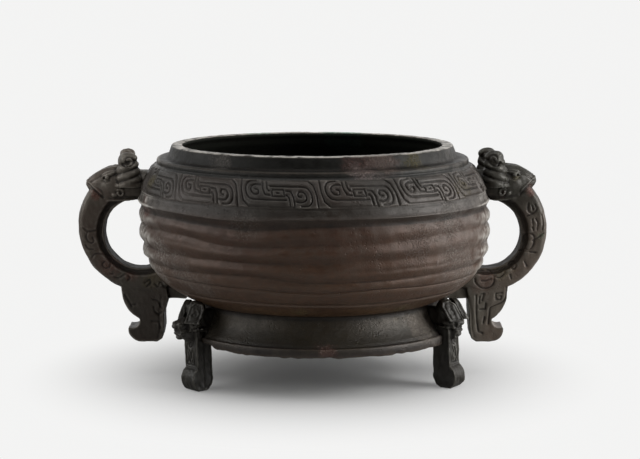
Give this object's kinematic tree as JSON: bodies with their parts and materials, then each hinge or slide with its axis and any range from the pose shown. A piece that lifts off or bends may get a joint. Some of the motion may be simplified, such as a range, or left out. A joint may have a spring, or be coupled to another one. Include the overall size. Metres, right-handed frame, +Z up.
{
  "type": "food vessel",
  "caption": "Round bronze food vessel: ribbed bowl under a dragon band, loop handles with horned animal heads and pendants, ring foot and short legs with masks.",
  "frame": {"origin": "middle of the vessel's outline seen from above, at the level of the soles", "axes": "+X towards the right handle, -Y the front, +Z up"},
  "size_m": [0.3503, 0.2624, 0.174],
  "materials": {
    "bronze": "dark brown-black patinated cast bronze, half matt"
  },
  "bodies": {
    "root": {"gui_vessel": "bronze"}
  },
  "joints": []
}
